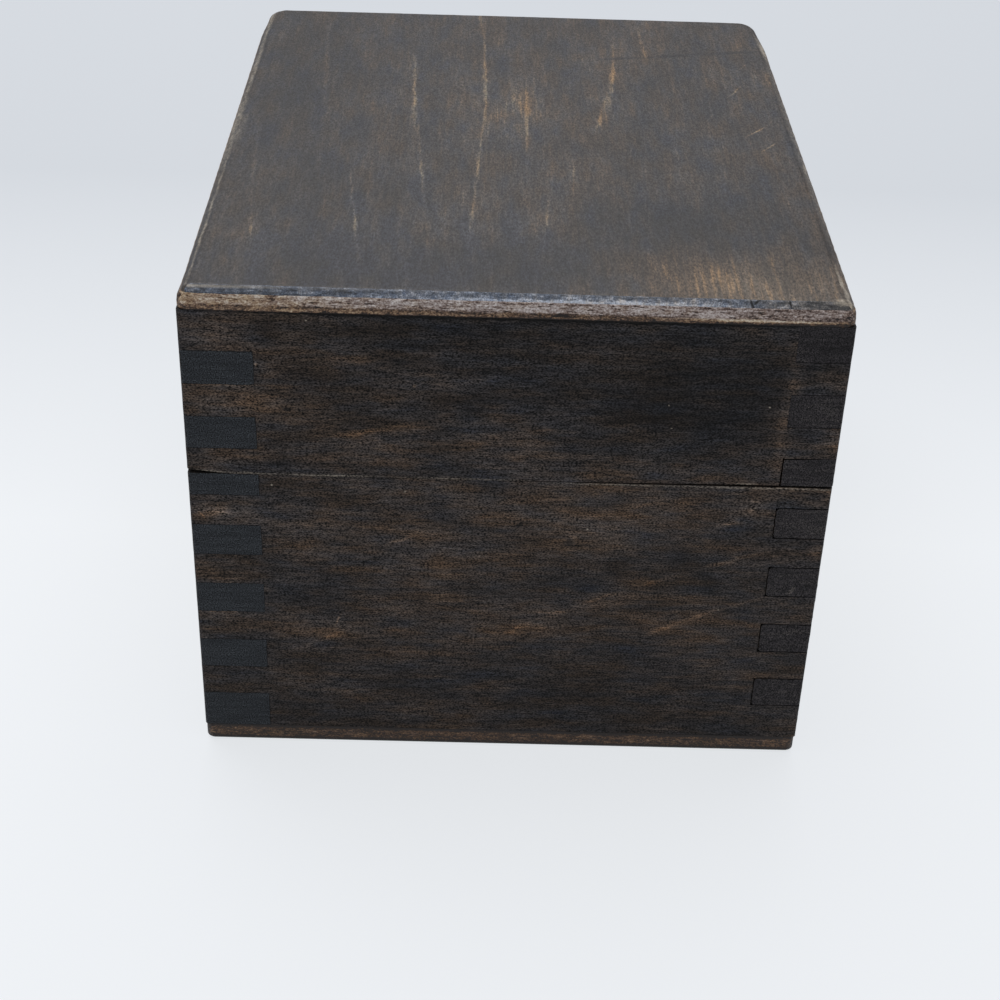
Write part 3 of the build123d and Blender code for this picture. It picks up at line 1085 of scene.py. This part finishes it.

# %% [markdown]
# The chamfer round the lid is handled most. Along the front and back its stain is worn to a
# mottled grey. Its cold, pale tones, up to blue-white, are partly painted highlights and a
# painted reflection of the sky overhead, and the bright line near its foot is a painted
# highlight. It also has a few dark nicks and a browner right end. Its foot is rubbed to bare
# wood at the left. The chamfers at the sides kept the veneer's colour. One even grey would
# look painted.

# %% Rubbed chamfer, with painted highlights
# The palest, bluest tones are painted highlights and a painted reflection of the sky.
chamfer_tones_and_highlights = (
    (0.0, "#101114"), (0.25, "#313338"), (0.45, "#4a4f57"), (0.7, "#757a83"),
    (1.0, "#c4c9d1"),
)
chamfer_nicks_and_highlights = [
    # The first three strokes are painted highlights, the brightest near the foot. Then come a darker
    # right end and three dark nicks.
    (-20, 0.6, 34, 0.6, 1.4, 0.16), (-24, 0.36, 38, 0.36, 0.34, 0.42),
    (1, 0.5, 26, 0.5, 0.55, 0.14), (26, 0.5, 44, 0.5, 1.8, -0.1),
    (24.7, 1.5, 25.4, -0.2, 0.17, -1), (26.3, 1.4, 25.2, 0.5, 0.15, -0.9),
    (29.1, 1.4, 29.3, 0.2, 0.15, -0.9),
]
chamfer_rubbed_marks = [
    (-46, 1.16, -24, 1.15, 0.3, 0.7), (-32, 1.15, -6, 1.15, 0.28, 0.14),
    (33.4, 1.15, 36.8, 1, 0.45, 0.8),
]
chamfer_warm_marks = [
    (24, 0.6, 50, 0.6, 3, 0.50), (-2, 0.6, 34, 0.6, 3, 0.16),
]
chamfer_pores, chamfer_specks, chamfer_blotches = (0.16, 0.22), (0.38, 1.3), (0.8, 2.0)
chamfer_seed = 1.9

lid_chamfer, tree, shader = new_material(
    "rubbed stained birch, chamfer with painted highlights", Roughness=0.42, Specular_IOR_Level=0.25
)
place = in_millimetres(tree)
pores = grain_lines(tree, place, y_axis, chamfer_pores, chamfer_seed)
specks = grain_lines(tree, place, x_axis, chamfer_specks, chamfer_seed + 2)
blotches = grain_lines(tree, place, y_axis, chamfer_blotches, chamfer_seed + 6)
loose = stray(tree, place, chamfer_seed, reach=0.2, spacing=1.0)
crisp = stray(tree, place, chamfer_seed, reach=0.06, spacing=0.6)
tone = weigh_up(tree, 0.5, (pores, 0.6), (specks, 1.1), (blotches, 0.5))
streaks, bare, warm = (
    counted_from(front_edge_level, strokes)
    for strokes in (chamfer_nicks_and_highlights, chamfer_rubbed_marks, chamfer_warm_marks)
)
tone = marks(tree, loose, from_above, streaks, tone)
rubbed = marks(tree, crisp, from_above, bare)
cast = marks(tree, loose, from_above, warm, weigh_up(tree, 0.4, (blotches, 0.8)))
stained_surface(tree, shader, tone, chamfer_tones_and_highlights, pores, 1.5, -0.5, rubbed, cast)
print("marks on the chamfer:", len(chamfer_nicks_and_highlights) + len(chamfer_rubbed_marks))

# %% [markdown]
# The edge of the plywood is rubbed nearly bare. Along the front the core's grain runs with
# the edge and shows pale streaks, golden at the left and greyish cream to the right. At the
# sides the core shows its darker end grain between the two pale face veneers. Three thin
# boards could be modelled instead, but the layers are glued flush, so only their tones differ.
# These bands of grey lighten or darken each layer, from the underside up.

# %% Layers of the plywood
panel_low, panel_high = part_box("lid_top_panel")
ply_low = panel_low.z / mm
ply_thickness = 2.5
golden_tones = (
    (0.0, "#1c120c"), (0.25, "#5e4531"), (0.5, "#9a7c5f"), (0.75, "#c6ad8c"),
    (1.0, "#e6d8be"),
)
cream_tones = (
    (0.0, "#1b1311"), (0.25, "#5e4b42"), (0.5, "#9b897f"), (0.75, "#cdc0b8"),
    (1.0, "#f2eae4"),
)
front_layers = (
    (0.0, "#000000"), (0.03, "#141414"), (0.07, "#7c7c7c"), (0.24, "#8c8c8c"),
    (0.34, "#b4b4b4"), (0.76, "#bcbcbc"), (0.86, "#a8a8a8"), (0.96, "#606060"),
)
side_layers = (
    (0.0, "#303030"), (0.06, "#a4a4a4"), (0.24, "#aeaeae"), (0.30, "#8c8c8c"),
    (0.62, "#909090"), (0.70, "#b8b8b8"), (0.84, "#a0a0a0"),
)
front_edge_marks = [
    (12, 1.2, 46, 1.5, 1.3, -0.06), (26, 1.1, 47, 1.1, 1.6, -0.24),
    (3.2, 0.6, 6.4, 0.55, 0.35, -0.6), (12, 0.55, 42, 0.48, 0.26, 0.8),
    (-12, 1.74, 48, 1.74, 0.16, -0.26), (-46, 0.25, 10, 0.25, 0.4, 0.3),
    # These two darken the rounded ends of the edge at both corners, as painted shade.
    (-37.2, 0, -36.4, 2, 0.7, -0.8), (37.2, 0, 36.3, 2, 0.7, -0.9),
]
print("plywood", ply_thickness, "mm thick, its underside at", round(ply_low, 2), "mm")

# %% [markdown]
# Bare plywood gives the eye a dry, fibrous band with short dark cracks. Two ramps turn the
# same tone into golden or cream, and a mottled share picks between them, so that one runs
# into the other without a line. The edges of the bottom panel are the same wood, but stained.

# %% Plywood edge
ply_fibres, ply_streaks, ply_specks = (0.2, 0.4), (0.5, 1.9), (0.15, 0.2)
ply_cracks, ply_mottle = (0.2, 1.4), (0.7, 1.6)
crack_from, crack_to, crack_darkness = 0.30, 0.42, -0.5
golden_veneer_from, golden_veneer_to = 0.5, 0.8
all_golden = (60, 90)
ply_bump, ply_depth = 0.6, 0.1 * mm


def ply_edge(name, seed, low, along, layers_seen, tone, contrast, cream_x=all_golden, strokes=()):
    """Layers are counted up from the underside. The edge turns from golden to cream along x."""
    material, tree, shader = new_material(name, Roughness=0.5, Specular_IOR_Level=0.35)
    place = in_millimetres(tree)
    loose = stray(tree, place, seed, reach=0.14, spacing=0.5)
    level = add_node(tree, "ShaderNodeSeparateXYZ", {"Vector": loose}, "Z")
    sideways = add_node(tree, "ShaderNodeSeparateXYZ", {"Vector": place}, "X")
    cracks = grain_lines(tree, place, along, ply_cracks, seed + 8)
    ranges = {
        "layers": (level, low, low + ply_thickness, 0.0, 1.0),
        "crack tone": (cracks, crack_from, crack_to, crack_darkness * contrast, 0.0),
        "cream": (sideways, *cream_x, 0.0, 1.0),
        "core": (level, low + golden_veneer_from, low + golden_veneer_to, 0.0, 1.0),
    }
    found = {
        what: add_node(
            tree,
            "ShaderNodeMapRange",
            dict(zip(("Value", "From Min", "From Max", "To Min", "To Max"), values)),
        )
        for what, values in ranges.items()
    }
    layer_tone = add_node(tree, "ShaderNodeValToRGB", {"Fac": found["layers"]}, stops=layers_seen)
    fibres = grain_lines(tree, place, along, ply_fibres, seed, detail=3.0, roughness=0.7)
    streaks = grain_lines(tree, place, along, ply_streaks, seed + 5, detail=3.0, roughness=0.7)
    specks = grain_lines(tree, place, along, ply_specks, seed + 2, detail=1.0, roughness=0.5)
    tone = weigh_up(
        tree,
        tone,
        (fibres, 1.4 * contrast),
        (streaks, 1.1 * contrast),
        (specks, 0.9 * contrast),
        (layer_tone, 1.6),
    )
    tone = add_node(
        tree,
        "ShaderNodeMath",
        {"Value": tone, "Value_001": found["crack tone"]},
        operation="ADD",
    )
    tone = marks(tree, loose, (along, z_axis), strokes, tone)
    golden = add_node(tree, "ShaderNodeValToRGB", {"Fac": tone}, stops=golden_tones)
    cream = add_node(tree, "ShaderNodeValToRGB", {"Fac": tone}, stops=cream_tones)
    cream_core = add_node(
        tree,
        "ShaderNodeMath",
        {"Value": found["cream"], "Value_001": found["core"]},
        operation="MULTIPLY",
    )
    mottle = grain_lines(tree, place, along, ply_mottle, seed + 3, roughness=0.5)
    share = weigh_up(tree, 0.5, (cream_core, 1.0), (mottle, 1.6))
    tint = add_node(
        tree,
        "ShaderNodeMix",
        {"Factor_Float": share, "A_Color": golden, "B_Color": cream},
        "Result_Color",
        data_type="RGBA",
    )
    tree.links.new(tint, shader.inputs["Base Color"])
    bump = add_node(
        tree,
        "ShaderNodeBump",
        {"Height": fibres, "Strength": ply_bump, "Distance": ply_depth},
    )
    tree.links.new(bump, shader.inputs["Normal"])
    return material


front_cream_x = (-34, -14)
lid_front_edge = ply_edge(
    "rubbed plywood edge, front of lid",
    seed=5.1,
    low=ply_low,
    along=x_axis,
    layers_seen=front_layers,
    tone=0.66,
    contrast=1.0,
    cream_x=front_cream_x,
    strokes=counted_from(ply_low, front_edge_marks),
)
lid_side_edge = ply_edge(
    "rubbed plywood edge, sides of lid", 6.3, ply_low, y_axis, side_layers, tone=0.54, contrast=0.6
)
base_front_edge = ply_edge(
    "stained plywood edge, front of base", 7.7, 0.0, x_axis, front_layers, tone=0.2, contrast=0.8
)
base_side_edge = ply_edge(
    "stained plywood edge, sides of base", 8.1, 0.0, y_axis, side_layers, tone=0.2, contrast=0.6
)
print("the front edge turns from golden to cream over x", front_cream_x, "mm")

# %% [markdown]
# The lid panel is cut square and glued on flush. Its chamfer was planed by hand and is a
# little wider at the left. Its edge leans inwards going up, more so towards the worn back
# corners, and its foot has dropped a little where it is handled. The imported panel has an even
# chamfer, so its points are moved one by one, along with short steps that let the wear be
# uneven. Then the foot and the upper arris are rounded over.

# %% Lid panel
panel_step = 0.6 * mm
arris_weld = 0.12 * mm
uncut_height = 0.1 * mm
chamfer_height, lean_height, fully_risen = 0.5 * mm, 0.7 * mm, 0.99
chamfer_foot = panel_high.z - chamfer_height
lean_from, lean_reach = panel_low.z + lean_height, 0.12 * mm
left_lean, left_lean_from = 0.14 * mm, -34 * mm
arris_in_left, arris_in_right, arris_in_from = 0.22 * mm, 0.12 * mm, 30 * mm
worn_back_length, worn_back_end = 11 * mm, 1 * mm
worn_all_over, worn_back_left, worn_back_right = 0.02 * mm, 0.44 * mm, 0.62 * mm
worn_full_from = 30 * mm
foot_drop = 0.14 * mm
edge_wander, edge_wander_spacing = 0.05 * mm, 0.9 * mm
foot_reach = 1.2 * edge_wander
foot_ease, foot_segments = 0.32 * mm, 3
arris_ease, panel_ease = 0.28 * mm, 0.03 * mm
on_level = 0.02 * mm


def at_level(level, reach=on_level):
    return lambda place: abs(place.z - level) < reach


def edges_at(shape, near):
    return [edge for edge in shape.edges if all(near(vert.co) for vert in edge.verts)]


at_top = at_level(panel_high.z)


def wear(vert):
    """Leans, wears and drops a point of the panel's edge, and lets it wander."""
    place = vert.co.copy()
    rise = share_between(place.z, lean_from, chamfer_foot)
    if rise == 0:
        return
    towards_front = share_between(place.y, back_plane, front_plane)
    left = left_lean * towards_front * share_between(place.x, left_lean_from, -side_plane)
    inward = (lean_reach + left) * rise * rise
    if at_top(place):
        inward += arris_in_left * share_between(place.x, 0, -side_plane)
        inward += arris_in_right * share_between(place.x, arris_in_from, side_plane)
    worn_corner = worn_back_right if place.x > 0 else worn_back_left
    worn_in = worn_all_over + worn_corner * share_between(
        place.y, back_plane - worn_back_length, back_plane - worn_back_end
    )
    vert.co.x -= math.copysign(worn_in, place.x) * min(1.0, abs(place.x) / worn_full_from)
    vert.co.x -= inward * place.x / side_plane
    vert.co.y -= inward * place.y / back_plane
    if rise > fully_risen:
        vert.co.z -= foot_drop * share_between(place.z, panel_high.z, chamfer_foot)
    shift = noise.noise_vector(place / edge_wander_spacing) * edge_wander
    shift.z = 0 if at_top(place) else shift.z
    vert.co += shift
    keep_flush(vert)


shape = welded_copy("lid_top_panel")
top_points = [vert for vert in shape.verts if at_top(vert.co)]
bmesh.ops.remove_doubles(shape, verts=top_points, dist=arris_weld)
bmesh.ops.bisect_plane(
    shape,
    geom=shape.verts[:] + shape.edges[:] + shape.faces[:],
    plane_co=(0, 0, lean_from),
    plane_no=(0, 0, 1),
)
cut_edges(shape, panel_step, lambda place: place.z > panel_low.z + uncut_height)
for vert in shape.verts:
    wear(vert)
at_foot = at_level(chamfer_foot - foot_drop, foot_reach)
bevel(shape, edges_at(shape, at_foot), foot_ease, foot_segments)
bevel(shape, edges_at(shape, at_top), arris_ease)
ease_edges(shape, panel_ease)
print("lid panel:", len(shape.verts), "points")

# %% [markdown]
# Faces that look up have the veneer, and those that look down are the inside of the lid. The
# bottom panel is the same plywood, square all round, and faces the other way.

# %% Faces of the panels
veneer_face, chamfer_face, front_edge_face, side_edge_face, inside_face = range(5)
under_veneer, under_front_edge, under_side_edge, under_inside = range(4)
level_face, side_chamfer, above_foot = 0.97, 0.25, 0.02 * mm
bottom_step, bottom_ease = 2.0 * mm, 0.08 * mm
bottom_level_face = 0.9


def lid_panel_finish(face):
    normal = face.normal
    if abs(normal.z) > level_face:
        return veneer_face if normal.z > 0 else inside_face
    if face.calc_center_median().z > chamfer_foot - foot_drop + above_foot:
        return veneer_face if abs(normal.x) > side_chamfer else chamfer_face
    return front_edge_face if abs(normal.y) > abs(normal.x) else side_edge_face


def bottom_panel_finish(face):
    normal = face.normal
    if abs(normal.z) > bottom_level_face:
        return under_inside if normal.z > 0 else under_veneer
    return under_front_edge if abs(normal.y) > abs(normal.x) else under_side_edge


finish_piece(
    shape,
    "lid_top_panel_worn",
    "lid_top_panel",
    [lid_veneer, lid_chamfer, lid_front_edge, lid_side_edge, inside_veneer],
    lid_panel_finish,
)
shape = welded_copy("base_bottom_panel")
cut_edges(shape, bottom_step)
ease_edges(shape, bottom_ease)
finish_piece(
    shape,
    "base_bottom_panel_worn",
    "base_bottom_panel",
    [plain_veneer, base_front_edge, base_side_edge, inside_veneer],
    bottom_panel_finish,
)

# %% [markdown]
# The hinges are small stamped brass ones. Handling has dulled them, which gives the eye a
# soft, uneven yellow-brown shine with fine brushing along the leaves. Their imported shapes
# are kept, but copies with eased edges catch a line of light.

# %% Hinges
tarnish_size, brushing_size = (1.2, 1.2), (0.08, 1.5)
brass_tones = ((0.25, "#866a3e"), (0.55, "#a08350"), (0.85, "#b3975f"))
brass_roughness = 0.38
hinge_ease = 0.04 * mm

brass, tree, shader = new_material("dull stamped brass", Metallic=1.0)
place = in_millimetres(tree)
tarnish = grain_lines(tree, place, x_axis, tarnish_size, 2.2, detail=4.0)
brushing = grain_lines(tree, place, x_axis, brushing_size, 6.2, roughness=0.5)
tint = add_node(tree, "ShaderNodeValToRGB", {"Fac": tarnish}, stops=brass_tones)
tree.links.new(tint, shader.inputs["Base Color"])
gloss = weigh_up(tree, brass_roughness, (tarnish, -0.3), (brushing, 0.25))
tree.links.new(gloss, shader.inputs["Roughness"])
for side in ("left", "right"):
    for part in ("lid_leaf", "base_leaf", "pin", "lid_screws", "base_screws"):
        node = f"{side}_hinge_{part}"
        shape = welded_copy(node)
        ease_edges(shape, hinge_ease)
        finish_piece(shape, f"{node}_worn", node, [brass])
